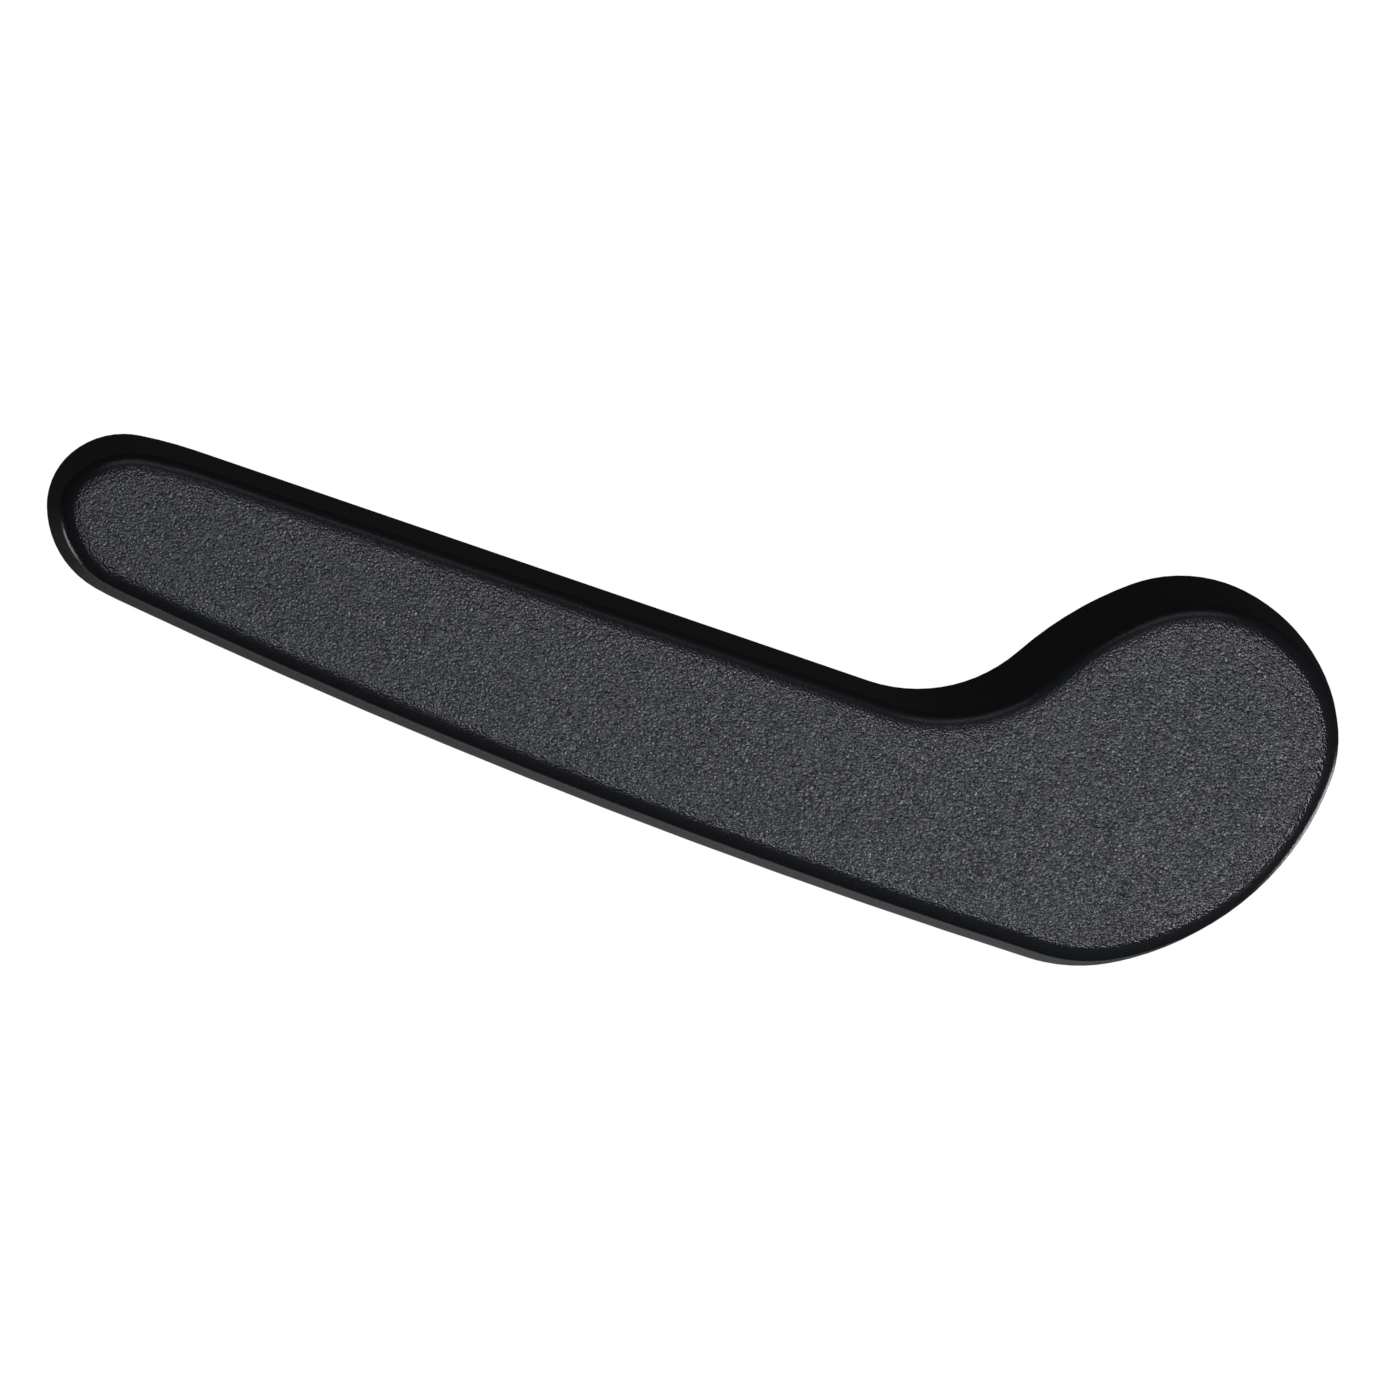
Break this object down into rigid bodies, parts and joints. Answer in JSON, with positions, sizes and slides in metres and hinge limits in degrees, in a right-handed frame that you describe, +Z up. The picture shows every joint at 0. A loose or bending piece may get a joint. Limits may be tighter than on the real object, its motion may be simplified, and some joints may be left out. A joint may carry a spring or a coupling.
{
  "type": "car seat recliner lever",
  "caption": "Moulded lever with a long arm and a rounded hub; a push-on socket with a wire clip turns a seat's recliner shaft.",
  "frame": {"origin": "shaft axis at the end face of the hub boss, where the boss meets the shoulder of the recliner shaft", "axes": "+X towards the hub end, with the arm running to -X and rising; +Y into the seat, along the shaft; +Z up; the front face looks to -Y"},
  "size_m": [0.1847, 0.02, 0.0763],
  "materials": {
    "black_plastic": "fine moulded grain, satin",
    "spring_steel": "drawn wire, satin"
  },
  "bodies": {
    "root": {"lever_handle": "black_plastic", "retaining_clip": "spring_steel"}
  },
  "joints": []
}
